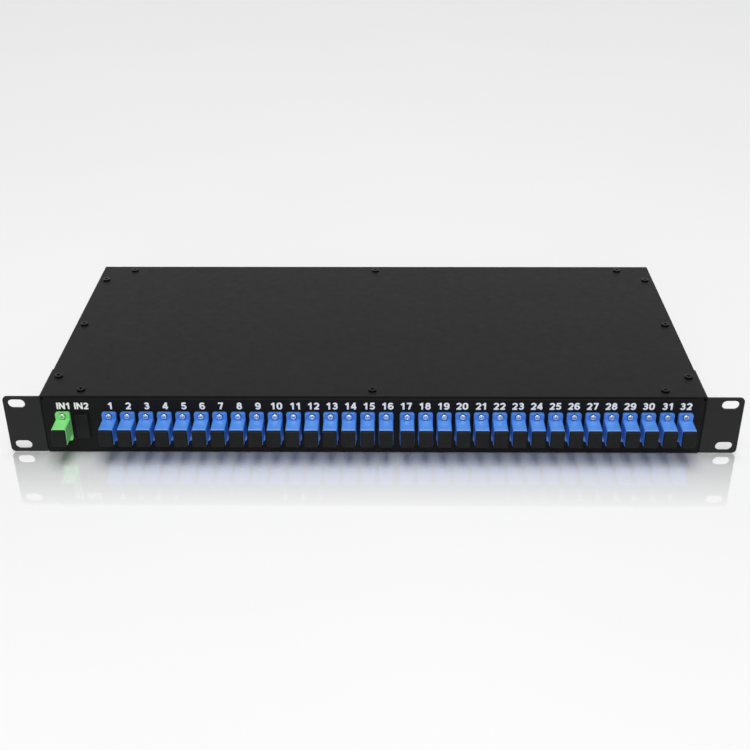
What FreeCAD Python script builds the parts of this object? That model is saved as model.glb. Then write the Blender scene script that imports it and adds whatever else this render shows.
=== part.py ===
import FreeCAD, Part
import math
import os

from FreeCAD import Vector

# Rack-mounted optical distribution frame, one rack unit high. All sizes are millimetres.
# X runs to the right as seen from the front, Y from the front to the back, Z up.
# The origin is the middle of the chassis underside.

# Driving dimensions: row of ports
port_pitch = 12.1
output_count = 32
input_count = 2
group_gap = 18.4          # last input to first output, centre to centre
middle_extra = 1.6        # added to the pitch between the two halves of the outputs
left_margin = 13.0        # first input's centre to the chassis side
right_margin = 11.8       # last output's centre to the chassis side
port_drop = 0.8           # ports below the middle of the front

# Driving dimensions: chassis
chassis_depth = 200.0
chassis_height = 44.0
sheet = 1.2               # steel sheet of every folded piece
bend_inner = 0.8          # inside radius of every fold
edge_round = 0.3          # broken edge of the painted sheet
cover_corner = 1.0
top_flange = 14.0         # inward flanges that carry the cover
front_lip = 8.0           # turned-up lip behind the panel's lower edge
side_return = 7.0         # turned-in edge of the side walls behind the panel
panel_foot = 0.6          # panel's and ears' lower edge above the underside
fold_gap = 0.3            # between folded pieces that do not touch
hole_clearance = 0.2      # screw holes, around what passes through

# Driving dimensions: rack ears
ear_reach = 25.3          # chassis side to ear tip
ear_drop = 0.9            # ear's top below the cover's face
ear_leg = 38.5
ear_corner = 3.0
slot_length = 11.2
slot_width = 6.4
slot_from_tip = 8.75
slot_spacing = 31.75      # between the two slots of an ear
ear_screw_radius = 2.0
ear_screw_head = 3.7
ear_screw_length = 8.0
ear_screw_from_front = 20.0
ear_screw_from_edge = 11.0
ear_nut_flats = 7.0
ear_nut_height = 3.2

# Driving dimensions: cover screws
cover_screw_radius = 1.5
cover_screw_head = 2.8
cover_screw_rise = 1.2    # head above the cover's top face
cover_screw_length = 6.5
sink_gap = 0.05           # between a countersunk head and its seat
cover_nut_flats = 5.5
cover_nut_height = 2.4
cover_screw_inset_end = 7.5     # front and rear rows, from the cover's edge
cover_screw_inset_side = 6.0    # side rows, from the cover's edge
cover_screw_corner_x = 25.0     # outer front and rear screws, from the side
cover_screw_corner_y = 25.0     # outer side screws, from the front and the rear

# Driving dimensions: adapters
socket_width = 7.5
socket_height = 9.1
body_wall_side = 0.9      # front half, around the socket
body_wall_top = 1.75
rear_wall_side = 0.65     # rear half, around the socket
rear_wall_top = 1.65
body_corner = 0.7
front_depth = 14.7        # front end before the panel's face
rear_depth = 13.3         # rear end behind the panel's face
rim_round = 0.4
flange_overhang = 0.15    # flange beyond the body on each side
flange_thick = 2.1
flange_corner = 1.5
keyway_width = 2.4
keyway_depth = 0.5
cutout_clearance = 0.15   # panel cut-out around the rear half
adapter_screw_from_end = 2.25   # screw's centre from the flange's end
adapter_screw_gap = 0.35        # screw's head from the front half's body
adapter_screw_radius = 1.0
adapter_screw_head = 1.9
adapter_screw_rise = 1.3
adapter_screw_length = 6.5
adapter_nut_flats = 4.0
adapter_nut_height = 1.6

# Driving dimensions: latch holder and alignment sleeve
holder_margin = 0.3       # plate beyond the socket on each side
holder_plate = 1.8
holder_gap = 0.05
holder_tube_radius = 2.3
holder_tube_length = 12.0
latch_width = 3.0
latch_thick = 0.9
latch_reach = 8.5
sleeve_radius = 1.6
sleeve_play = 0.02        # sleeve's bore around a ferrule
sleeve_length = 11.4
sleeve_slit = 0.4

# Driving dimensions: dust caps
cap_inset_side = 0.2      # head inside the adapter's outline
cap_inset_top = 0.6
cap_thick = 2.3
cap_corner = 0.9
cap_gap = 0.1             # head to the adapter's rim
skirt_clearance = 0.15    # skirt to the socket wall
skirt_wall = 0.8
skirt_length = 4.5

# Driving dimensions: blank in the second input
blank_overlap = 0.35      # base beyond its plug on each side
blank_height = 19.0
blank_base = 1.0
pad_margin = 0.4          # base beyond the pad on each side
pad_rise = 1.0
blank_plug_depth = 6.0
blank_plug_wall = 1.2
barb_reach = 0.5
barb_length = 2.0
barb_height = 6.0

# Driving dimensions: pigtail plugs and boots
plug_clearance = 0.1      # plug to the socket wall
nose_clearance = 0.35     # plug's nose to the latch arms
plug_start = 1.0          # plug's front end behind the panel's face
plug_nose_length = 9.0
plug_length = 23.0
tube_clearance = 0.3      # plug's bore around the holder's tube
ferrule_radius = 1.25
ferrule_length = 14.0
boot_length = 20.0
boot_root = 2.6
boot_tip = 1.2

# Driving dimensions: fibre pigtails, guides and splitter module
fibre_radius = 0.45
fibre_play = 0.1          # bores and slots around a fibre
fibre_bend = 15.0
input_bend = 40.0
fibre_lead = 4.0          # straight run out of each boot
lane_pitch = 2.0
outlet_pitch = 1.5
outlet_depth = 3.0
module_width = 120.0
module_depth = 70.0
module_height = 10.0
module_round = 1.0
nose_margin = 4.0         # fan-out nose beyond its outer fibres
nose_depth = 6.0
nose_height = 6.0
lug_reach = 9.0
lug_width = 10.0
lug_height = 3.0
lug_inset = 10.0          # lug's centre from the module's front and rear
module_screw_radius = 1.5
module_screw_head = 2.8
module_screw_rise = 1.8
module_screw_length = 8.0
spacer_flats = 5.5
guide_offset = 55.0       # guide comb to the middle of the outputs
guide_width = 5.0
guide_margin = 2.5

# How far a cutting shape runs past the face it cuts
past = 1.0

# Directions
RIGHT = Vector(1, 0, 0)
BACK = Vector(0, 1, 0)
UP = Vector(0, 0, 1)

# Places worked out from the driving dimensions
half_count = output_count // 2
output_span = port_pitch * (output_count - 1) + middle_extra
input_span = port_pitch * (input_count - 1)
chassis_width = left_margin + input_span + group_gap + output_span + right_margin
half_width = chassis_width / 2
front = -chassis_depth / 2
rear = chassis_depth / 2
panel_back = front + sheet
cover_bottom = chassis_height - sheet
ear_top = chassis_height - ear_drop
ear_middle = (panel_foot + ear_top) / 2
port_height = chassis_height / 2 - port_drop
bend_outer = bend_inner + sheet
first_input = -half_width + left_margin
first_output = first_input + input_span + group_gap
input_x = [first_input + port_pitch * i for i in range(input_count)]
output_x = [first_output + port_pitch * i for i in range(half_count)]
output_x += [first_output + port_pitch * i + middle_extra for i in range(half_count, output_count)]
outputs_middle = (output_x[0] + output_x[-1]) / 2
adapter_x = input_x[:1] + output_x
blank_x = input_x[1]
body_width = socket_width + 2 * body_wall_side
body_height = socket_height + 2 * body_wall_top
rear_width = socket_width + 2 * rear_wall_side
rear_height = socket_height + 2 * rear_wall_top
adapter_screw_z = body_height / 2 + adapter_screw_gap + adapter_screw_head
flange_width = body_width + 2 * flange_overhang
flange_height = 2 * (adapter_screw_z + adapter_screw_from_end)
cap_width = body_width - 2 * cap_inset_side
cap_height = body_height - 2 * cap_inset_top
blank_width = rear_width + 2 * blank_overlap
pad_width = blank_width - 2 * pad_margin
pad_height = blank_height - 2 * pad_margin
latch_outer = socket_height / 2 - holder_margin
plug_width = socket_width - 2 * plug_clearance
plug_height = socket_height - 2 * plug_clearance
plug_nose_height = 2 * (latch_outer - latch_thick - nose_clearance)
plug_bore = holder_tube_radius + tube_clearance
sleeve_bore = ferrule_radius + sleeve_play
mate_plane = -flange_thick / 2
boot_start = plug_start + plug_length
boot_end = boot_start + boot_length


# Basic shapes

def box(x0, x1, y0, y1, z0, z1):
    return Part.makeBox(x1 - x0, y1 - y0, z1 - z0, Vector(x0, y0, z0))


def bar(width, height, y0, y1):
    """Box centred on the port's axis."""
    return box(-width / 2, width / 2, y0, y1, -height / 2, height / 2)


def edges_along(shape, direction):
    """Straight edges parallel to a direction."""
    chosen = []
    for edge in shape.Edges:
        ends = [vertex.Point for vertex in edge.Vertexes]
        if len(ends) == 2 and (ends[1] - ends[0]).normalize().cross(direction).Length < 1e-6:
            chosen.append(edge)
    return chosen


def edges_at(shape, axis, value):
    """Edges that lie in one plane across an axis: 0 for X, 1 for Y, 2 for Z."""
    chosen = []
    for edge in shape.Edges:
        span = edge.BoundBox
        low = (span.XMin, span.YMin, span.ZMin)[axis]
        high = (span.XMax, span.YMax, span.ZMax)[axis]
        if abs(low - value) < 1e-4 and abs(high - value) < 1e-4:
            chosen.append(edge)
    return chosen


def rounded_bar(width, height, corner, y0, y1):
    """Box centred on the port's axis, with its four long edges rounded."""
    shape = bar(width, height, y0, y1)
    return shape.makeFillet(corner, edges_along(shape, BACK))


def placed(shape, position, direction=UP):
    """Copy of a shape made about the origin, with its Z axis turned to a direction."""
    copy = shape.copy()
    copy.Placement = FreeCAD.Placement(position, FreeCAD.Rotation(UP, direction))
    return copy


def moved(shape, x, y, z):
    copy = shape.copy()
    copy.translate(Vector(x, y, z))
    return copy


def at_port(shape, x):
    """Copy of a shape made about a port's axis, with Y measured from the panel's face."""
    return moved(shape, x, front, port_height)


def at_ports(shape, places):
    return Part.makeCompound([at_port(shape, x) for x in places])


def folded_angle(corner, along_u, leg_u, along_v, leg_v, drawn):
    """Sheet folded once: two legs meet at a rounded outer corner, drawn out along a vector."""
    def at(u, v):
        return corner + along_u * u + along_v * v

    middle_out = bend_outer * (1 - math.sqrt(0.5))
    middle_in = bend_outer - bend_inner * math.sqrt(0.5)
    outline = [
        Part.LineSegment(at(0, leg_v), at(0, bend_outer)),
        Part.Arc(at(0, bend_outer), at(middle_out, middle_out), at(bend_outer, 0)),
        Part.LineSegment(at(bend_outer, 0), at(leg_u, 0)),
        Part.LineSegment(at(leg_u, 0), at(leg_u, sheet)),
        Part.LineSegment(at(leg_u, sheet), at(bend_outer, sheet)),
        Part.Arc(at(bend_outer, sheet), at(middle_in, middle_in), at(sheet, bend_outer)),
        Part.LineSegment(at(sheet, bend_outer), at(sheet, leg_v)),
        Part.LineSegment(at(sheet, leg_v), at(0, leg_v)),
    ]
    return Part.Face(Part.Wire([piece.toShape() for piece in outline])).extrude(drawn)


# Fasteners, made about the origin with Z pointing into the hole

def cross_recess(top, reach, depth):
    """Cross-shaped recess in a screw head's top face."""
    slot = reach / 2.5
    one = box(-reach, reach, -slot / 2, slot / 2, top, top + depth)
    return one.fuse(box(-slot / 2, slot / 2, -reach, reach, top, top + depth))


def flat_head_screw(radius, head, length):
    """Countersunk screw; the origin is the middle of its top face."""
    cone = Part.makeCone(head, radius, head - radius)
    shank = Part.makeCylinder(radius, length)
    return cone.fuse(shank).removeSplitter().cut(cross_recess(0, head * 0.6, head * 0.3))


def pan_head_screw(radius, head, rise, length):
    """Pan-head screw; the origin is the middle of the seat under its head."""
    top = Part.makeCylinder(head, rise, Vector(0, 0, -rise))
    top = top.makeFillet(rise * 0.6, edges_at(top, 2, -rise))
    shank = Part.makeCylinder(radius, length)
    return top.fuse(shank).cut(cross_recess(-rise, head * 0.6, rise * 0.5))


def hex_prism(flats, bore, height):
    """Hexagonal nut or spacer with a plain hole."""
    corner = flats / math.sqrt(3)
    points = []
    for i in range(7):
        turn = math.radians(60 * i)
        points.append(Vector(corner * math.cos(turn), corner * math.sin(turn), 0))
    prism = Part.Face(Part.makePolygon(points)).extrude(UP * height)
    return prism.cut(Part.makeCylinder(bore, height))


# Fastener places

def cover_screw_places():
    """Front row, rear row, then both sides, on the cover's top face."""
    end_x = half_width - cover_screw_corner_x
    side_x = half_width - cover_screw_inset_side
    side_y = chassis_depth / 2 - cover_screw_corner_y
    places = [(x, front + cover_screw_inset_end) for x in (-end_x, 0, end_x)]
    places += [(x, rear - cover_screw_inset_end) for x in (-end_x, 0, end_x)]
    places += [(x, y) for x in (-side_x, side_x) for y in (-side_y, 0, side_y)]
    return places


def ear_screw_places():
    """Each is a side, -1 or 1, and a height."""
    heights = (ear_screw_from_edge, chassis_height - ear_screw_from_edge)
    return [(side, z) for side in (-1, 1) for z in heights]


cover_screw_hole = cover_screw_radius + hole_clearance
ear_wall_hole = ear_screw_head - sheet + hole_clearance
ear_screw_y = front + ear_screw_from_front
adapter_screw_hole = adapter_screw_radius + hole_clearance


# Chassis sheet metal

def port_cutouts(depth):
    """Room around the rear half of each adapter and around the blank, from the panel's face back."""
    width = rear_width + 2 * cutout_clearance
    height = rear_height + 2 * cutout_clearance
    cutout = bar(width, height, -sheet, depth)
    return [at_port(cutout, x) for x in adapter_x + [blank_x]]


def chassis_tray():
    """Floor, two sides and rear folded from one sheet, with inward flanges at the top."""
    height = cover_bottom
    shape = box(-half_width, half_width, panel_back, rear, 0, height)
    shape = shape.makeFillet(bend_outer, shape.Edges)
    inside = half_width - sheet
    inner = box(-inside, inside, panel_back + sheet, rear - sheet, sheet, height - sheet)
    shape = shape.cut(inner.makeFillet(bend_inner, inner.Edges))
    top = height + past
    opening_x = half_width - top_flange
    opening_y = front + top_flange + fold_gap
    shape = shape.cut(box(-opening_x, opening_x, opening_y, rear - top_flange, height / 2, top))
    below_panel_flange = height - bend_outer - fold_gap
    shape = shape.cut(box(-inside, inside, panel_back - past, opening_y, below_panel_flange, top))
    return_x = half_width - side_return
    window_back = panel_back + bend_outer
    shape = shape.cut(box(-return_x, return_x, panel_back - past, window_back, front_lip, top))
    shape = shape.cut(Part.makeCompound(port_cutouts(window_back - front)))
    for x, y in cover_screw_places():
        shape = shape.cut(Part.makeCylinder(cover_screw_hole, 2 * sheet, Vector(x, y, height - 2 * sheet)))
    for side, z in ear_screw_places():
        start = Vector(side * (half_width - 2 * sheet), ear_screw_y, z)
        shape = shape.cut(Part.makeCylinder(ear_wall_hole, 3 * sheet, start, RIGHT * side))
    return shape


def front_panel():
    """Plate with a cut-out for each port, folded back at the top to carry the cover's front edge."""
    flange_half = half_width - sheet - fold_gap
    corner = Vector(-flange_half, front, cover_bottom)
    drawn = RIGHT * (2 * flange_half)
    shape = folded_angle(corner, BACK, top_flange, -UP, cover_bottom - panel_foot, drawn)
    fold_start = cover_bottom - bend_outer
    shape = shape.fuse(box(-half_width, half_width, front, panel_back, panel_foot, fold_start))
    shape = shape.removeSplitter()
    holes = port_cutouts(2 * sheet)
    for x in adapter_x:
        for z in (-adapter_screw_z, adapter_screw_z):
            start = Vector(x, front - sheet, port_height + z)
            holes.append(Part.makeCylinder(adapter_screw_hole, 3 * sheet, start, BACK))
    for x, y in cover_screw_places()[:3]:
        holes.append(Part.makeCylinder(cover_screw_hole, 3 * sheet, Vector(x, y, cover_bottom - 2 * sheet)))
    return shape.cut(Part.makeCompound(holes))


def top_cover():
    """Flat plate with a hole for each screw."""
    shape = box(-half_width, half_width, front, rear, cover_bottom, chassis_height)
    shape = shape.makeFillet(cover_corner, edges_along(shape, UP))
    shape = shape.makeFillet(edge_round, edges_at(shape, 2, chassis_height))
    hole = Part.makeCylinder(cover_screw_hole, sheet)
    return shape.cut(Part.makeCompound([moved(hole, x, y, cover_bottom) for x, y in cover_screw_places()]))


def ear_slot(side, z):
    middle = side * (half_width + ear_reach - slot_from_tip)
    run = (slot_length - slot_width) / 2
    radius = slot_width / 2
    slot = box(middle - run, middle + run, front - past, panel_back + past, z - radius, z + radius)
    for x in (middle - run, middle + run):
        slot = slot.fuse(Part.makeCylinder(radius, sheet + 2 * past, Vector(x, front - past, z), BACK))
    return slot


def ear_bracket(side):
    """L-shaped ear: one leg on the chassis side, one flange with two slots in the panel's plane."""
    corner = Vector(side * half_width, front, panel_foot)
    shape = folded_angle(corner, RIGHT * side, ear_reach, BACK, ear_leg, UP * (ear_top - panel_foot))
    tip = side * (half_width + ear_reach)
    ends = [e for e in edges_along(shape, BACK) if abs(e.Vertexes[0].X - tip) < 1e-4]
    ends += [e for e in edges_along(shape, RIGHT) if abs(e.Vertexes[0].Y - front - ear_leg) < 1e-4]
    shape = shape.makeFillet(ear_corner, ends)
    mouth = ear_screw_head + sink_gap
    for z in (ear_middle - slot_spacing / 2, ear_middle + slot_spacing / 2):
        shape = shape.cut(ear_slot(side, z))
    for z in (ear_screw_from_edge, chassis_height - ear_screw_from_edge):
        start = Vector(side * half_width, ear_screw_y, z)
        shape = shape.cut(Part.makeCone(mouth - sheet, mouth, sheet, start, RIGHT * side))
    return shape


# Chassis fasteners

def cover_screws():
    screw = pan_head_screw(cover_screw_radius, cover_screw_head, cover_screw_rise, cover_screw_length)
    seat = chassis_height
    return Part.makeCompound([placed(screw, Vector(x, y, seat), -UP) for x, y in cover_screw_places()])


def cover_nuts():
    nut = hex_prism(cover_nut_flats, cover_screw_radius + sink_gap, cover_nut_height)
    top = cover_bottom - sheet
    return Part.makeCompound([placed(nut, Vector(x, y, top), -UP) for x, y in cover_screw_places()])


def at_ear_screws(shape, x):
    """Copies on both sides, a distance out from the middle, pointing inwards."""
    copies = []
    for side, z in ear_screw_places():
        copies.append(placed(shape, Vector(side * x, ear_screw_y, z), RIGHT * -side))
    return Part.makeCompound(copies)


def ear_screws():
    screw = flat_head_screw(ear_screw_radius, ear_screw_head, ear_screw_length)
    return at_ear_screws(screw, half_width + sheet)


def ear_nuts():
    nut = hex_prism(ear_nut_flats, ear_screw_radius + sink_gap, ear_nut_height)
    return at_ear_screws(nut, half_width - sheet)


# Adapters, made about the port's axis with Y measured from the panel's face

def socket(y0, y1):
    return bar(socket_width, socket_height, y0, y1)


def adapter_front():
    """Front half with the mounting flange; the keyway is a groove inside the right-hand wall."""
    flange = rounded_bar(flange_width, flange_height, flange_corner, -flange_thick, 0)
    flange = flange.makeFillet(rim_round, edges_at(flange, 1, -flange_thick))
    body = rounded_bar(body_width, body_height, body_corner, -front_depth, -flange_thick / 2)
    body = body.makeFillet(rim_round, edges_at(body, 1, -front_depth))
    shape = flange.fuse(body)
    shape = shape.cut(socket(-front_depth - past, past))
    key_end = socket_width / 2 + keyway_depth
    key = box(0, key_end, -front_depth - past, -flange_thick, -keyway_width / 2, keyway_width / 2)
    shape = shape.cut(key)
    shape = shape.cut(holder_plate_box(0, past))
    for z in (-adapter_screw_z, adapter_screw_z):
        start = Vector(0, -flange_thick - past, z)
        shape = shape.cut(Part.makeCylinder(adapter_screw_hole, flange_thick + 2 * past, start, BACK))
    return shape


def holder_plate_box(play, behind):
    """Room of the holder's plate in the flange, or the plate itself with play all round."""
    width = socket_width + 2 * (holder_margin - play)
    height = socket_height + 2 * (holder_margin - play)
    return bar(width, height, -holder_plate + play, behind)


def adapter_rear():
    """Rear half, a plain tube that passes through the panel."""
    body = rounded_bar(rear_width, rear_height, body_corner, 0, rear_depth)
    body = body.makeFillet(rim_round, edges_at(body, 1, rear_depth))
    return body.cut(socket(-past, rear_depth + past))


def latch_holder():
    """Plate held between the two halves, with a tube for the sleeve and latch arms both ways."""
    shape = holder_plate_box(holder_gap, -holder_gap)
    tube_start = mate_plane - holder_tube_length / 2
    tube = Part.makeCylinder(holder_tube_radius, holder_tube_length, Vector(0, tube_start, 0), BACK)
    shape = shape.fuse(tube)
    for side in (-1, 1):
        low = min(side * latch_outer, side * (latch_outer - latch_thick))
        reach = (mate_plane - latch_reach, mate_plane + latch_reach)
        arm = box(-latch_width / 2, latch_width / 2, reach[0], reach[1], low, low + latch_thick)
        shape = shape.fuse(arm)
    bore = Part.makeCylinder(sleeve_radius + holder_gap, holder_tube_length, Vector(0, tube_start, 0), BACK)
    return shape.removeSplitter().cut(bore)


def alignment_sleeve():
    """Ceramic tube with a slit along its length, centred on the plane where the ferrules meet."""
    start = Vector(0, mate_plane - sleeve_length / 2, 0)
    tube = Part.makeCylinder(sleeve_radius, sleeve_length, start, BACK)
    tube = tube.cut(Part.makeCylinder(sleeve_bore, sleeve_length, start, BACK))
    end = start.y + sleeve_length
    half_slit = sleeve_slit / 2
    return tube.cut(box(-half_slit, half_slit, start.y - past, end + past, 0, sleeve_radius + past))


def at_adapter_screws(shape, y):
    """Copies above and below each adapter, at one depth, pointing backwards."""
    copies = []
    for x in adapter_x:
        for z in (-adapter_screw_z, adapter_screw_z):
            copies.append(placed(shape, Vector(x, y, port_height + z), BACK))
    return Part.makeCompound(copies)


def adapter_screws():
    radius = adapter_screw_radius
    screw = pan_head_screw(radius, adapter_screw_head, adapter_screw_rise, adapter_screw_length)
    return at_adapter_screws(screw, front - flange_thick)


def adapter_nuts():
    nut = hex_prism(adapter_nut_flats, adapter_screw_radius + sink_gap, adapter_nut_height)
    return at_adapter_screws(nut, panel_back)


# What goes into the sockets

def dust_cap():
    """Flat head just before the adapter's rim, with a hollow skirt in the socket."""
    back = -front_depth - cap_gap
    head = rounded_bar(cap_width, cap_height, cap_corner, back - cap_thick, back)
    head = head.makeFillet(rim_round, edges_at(head, 1, back - cap_thick))
    width = socket_width - 2 * skirt_clearance
    height = socket_height - 2 * skirt_clearance
    skirt_end = back + cap_gap + skirt_length
    skirt = bar(width, height, back, skirt_end)
    skirt = skirt.cut(bar(width - 2 * skirt_wall, height - 2 * skirt_wall, back, skirt_end + past))
    return head.fuse(skirt)


def blank_plug():
    """Moulded blank: base plate with a raised pad, and a hollow plug with a barb on each side."""
    base = rounded_bar(blank_width, blank_height, body_corner, -blank_base, 0)
    pad = rounded_bar(pad_width, pad_height, body_corner, -blank_base - pad_rise, -blank_base / 2)
    pad = pad.makeFillet(rim_round, edges_at(pad, 1, -blank_base - pad_rise))
    plug = bar(rear_width, rear_height, -blank_base / 2, blank_plug_depth)
    barbs_width = rear_width + 2 * (cutout_clearance + barb_reach)
    barbs = bar(barbs_width, barb_height, sheet, sheet + barb_length)
    inner_width = rear_width - 2 * blank_plug_wall
    inner_height = rear_height - 2 * blank_plug_wall
    hollow = bar(inner_width, inner_height, 0, blank_plug_depth + past)
    return base.fuse([pad, plug, barbs]).cut(hollow).removeSplitter()


def pigtail_plug():
    """Plug body with a narrow nose between the latch arms and a bore for the holder's tube."""
    nose_end = plug_start + plug_nose_length
    nose = bar(plug_width, plug_nose_height, plug_start, nose_end)
    body = rounded_bar(plug_width, plug_height, body_corner, nose_end, boot_start)
    shape = nose.fuse(body)
    well = Part.makeCylinder(plug_bore, plug_nose_length, Vector(0, plug_start, 0), BACK)
    through = Part.makeCylinder(ferrule_radius + holder_gap, plug_length, Vector(0, plug_start, 0), BACK)
    return shape.cut(well).cut(through)


def ferrule():
    start = Vector(0, mate_plane + holder_gap, 0)
    tube = Part.makeCylinder(ferrule_radius, ferrule_length, start, BACK)
    return tube.makeChamfer(ferrule_radius / 4, edges_at(tube, 1, start.y))


def plug_boot():
    """Tapered strain relief with a bore for the fibre."""
    start = Vector(0, boot_start, 0)
    cone = Part.makeCone(boot_root, boot_tip, boot_length, start, BACK)
    return cone.cut(Part.makeCylinder(fibre_radius + fibre_play, boot_length, start, BACK))


# Splitter module and its fibres

lane_first = front + boot_end + fibre_lead + fibre_bend
lane_last = lane_first + lane_pitch * (half_count - 1)
nose_front = lane_last + fibre_bend + fibre_lead
module_front = nose_front + nose_depth
module_rear = module_front + module_depth
module_bottom = port_height - module_height / 2
module_left = outputs_middle - module_width / 2
module_right = outputs_middle + module_width / 2
input_entry_y = (module_front + module_rear) / 2


def steps_out(index):
    """Ports from the middle of the outputs to an output, with its sign."""
    return index - (output_count - 1) / 2


def lane_y(index):
    """Depth at which an output's fibre crosses; outer ports cross nearer the module."""
    return lane_first + lane_pitch * (abs(steps_out(index)) - 0.5)


def tube_along(pieces):
    """Fibre swept along a flat route of lines and tangent arcs."""
    path = Part.Wire([piece.toShape() for piece in pieces])
    start = path.Edges[0].Vertexes[0].Point
    section = Part.Wire([Part.Circle(start, BACK, fibre_radius).toShape()])
    return path.makePipeShell([section], True, True)


def flat_point(x, y):
    return Vector(x, y, port_height)


def output_fibre(index):
    """Out of the boot, across in its own lane and on into the fan-out nose."""
    port = output_x[index]
    outlet = outputs_middle + outlet_pitch * steps_out(index)
    shift = outlet - port
    side = math.copysign(1, shift)
    turn = math.acos(max(0.0, 1 - abs(shift) / (2 * fibre_bend)))
    half = turn / 2
    lane = lane_y(index)
    rise = fibre_bend * math.sin(turn)
    reach = fibre_bend * (1 - math.cos(turn))
    near = fibre_bend * (1 - math.cos(half))
    first = fibre_bend * math.sin(half)
    leave = flat_point(port, lane - rise)
    across = flat_point(port + side * reach, lane)
    across_end = flat_point(outlet - side * reach, lane)
    join = flat_point(outlet, lane + rise)
    pieces = [Part.LineSegment(flat_point(port, front + boot_start), leave)]
    pieces.append(Part.Arc(leave, flat_point(port + side * near, lane - rise + first), across))
    if (across_end - across).Length > 1e-6:
        pieces.append(Part.LineSegment(across, across_end))
    pieces.append(Part.Arc(across_end, flat_point(outlet - side * near, lane + rise - first), join))
    pieces.append(Part.LineSegment(join, flat_point(outlet, nose_front + outlet_depth)))
    return tube_along(pieces)


def input_fibre():
    """Straight back from the input, then one wide bend to the module's left side."""
    x = input_x[0]
    bend_start = flat_point(x, input_entry_y - input_bend)
    bend_end = flat_point(x + input_bend, input_entry_y)
    near = input_bend * (1 - math.sqrt(0.5))
    middle = flat_point(x + near, input_entry_y - near)
    return tube_along([
        Part.LineSegment(flat_point(x, front + boot_start), bend_start),
        Part.Arc(bend_start, middle, bend_end),
        Part.LineSegment(bend_end, flat_point(module_left + outlet_depth, input_entry_y)),
    ])


def fibre_pigtails():
    fibres = [input_fibre()]
    fibres += [output_fibre(index) for index in range(output_count)]
    print("tightest fibre bend", min(fibre_bend, input_bend), "mm")
    return Part.makeCompound(fibres)


def lug_depths():
    return (module_front + lug_inset, module_rear - lug_inset)


def lug_places():
    """Screw holes in the module's four lugs."""
    xs = (module_left - lug_reach / 2, module_right + lug_reach / 2)
    return [(x, y) for x in xs for y in lug_depths()]


def splitter_module():
    """Sealed flat box with four lugs, a fan-out nose for the outputs and one inlet at its left side."""
    top = module_bottom + module_height
    shape = box(module_left, module_right, module_front, module_rear, module_bottom, top)
    shape = shape.makeFillet(module_round, edges_along(shape, UP) + edges_at(shape, 2, top))
    nose_half = outlet_pitch * (output_count - 1) / 2 + nose_margin
    low = port_height - nose_height / 2
    nose_left = outputs_middle - nose_half
    nose_right = outputs_middle + nose_half
    parts = [box(nose_left, nose_right, nose_front, module_front, low, low + nose_height)]
    lug_top = module_bottom + lug_height
    for y in lug_depths():
        y0 = y - lug_width / 2
        y1 = y + lug_width / 2
        parts.append(box(module_left - lug_reach, module_right + lug_reach, y0, y1, module_bottom, lug_top))
    shape = shape.fuse(parts)
    bore = fibre_radius + fibre_play
    holes = [Part.makeCylinder(bore, outlet_depth, Vector(module_left, input_entry_y, port_height), RIGHT)]
    for index in range(output_count):
        x = outputs_middle + outlet_pitch * steps_out(index)
        holes.append(Part.makeCylinder(bore, outlet_depth, Vector(x, nose_front, port_height), BACK))
    lug_hole = module_screw_radius + hole_clearance
    for x, y in lug_places():
        start = Vector(x, y, module_bottom - past)
        holes.append(Part.makeCylinder(lug_hole, lug_height + 2 * past, start))
    return shape.cut(Part.makeCompound(holes))


def module_spacers():
    spacer = hex_prism(spacer_flats, module_screw_radius + sink_gap, module_bottom - sheet)
    return Part.makeCompound([placed(spacer, Vector(x, y, sheet)) for x, y in lug_places()])


def module_screws():
    screw = pan_head_screw(module_screw_radius, module_screw_head, module_screw_rise, module_screw_length)
    seat = module_bottom + lug_height
    return Part.makeCompound([placed(screw, Vector(x, y, seat), -UP) for x, y in lug_places()])


def fibre_guides():
    """Two combs on the floor; each fibre that crosses there lies in its own slot."""
    combs = []
    slot = 2 * (fibre_radius + fibre_play)
    for side in (-1, 1):
        passing = []
        for index in range(output_count):
            reach = side * (output_x[index] - outputs_middle) - fibre_bend
            if reach > guide_offset + guide_width:
                passing.append(lane_y(index))
        x = outputs_middle + side * guide_offset
        x0 = x - guide_width / 2
        x1 = x + guide_width / 2
        top = port_height + guide_margin
        y0 = min(passing) - lane_pitch / 2
        y1 = max(passing) + guide_margin
        comb = box(x0, x1, y0, y1, sheet, top)
        bottom = port_height - slot / 2
        slots = []
        for y in passing:
            slots.append(box(x0 - past, x1 + past, y - slot / 2, y + slot / 2, bottom, top + past))
        combs.append(comb.cut(Part.makeCompound(slots)))
    return Part.makeCompound(combs)


# Every node and its shape

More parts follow.
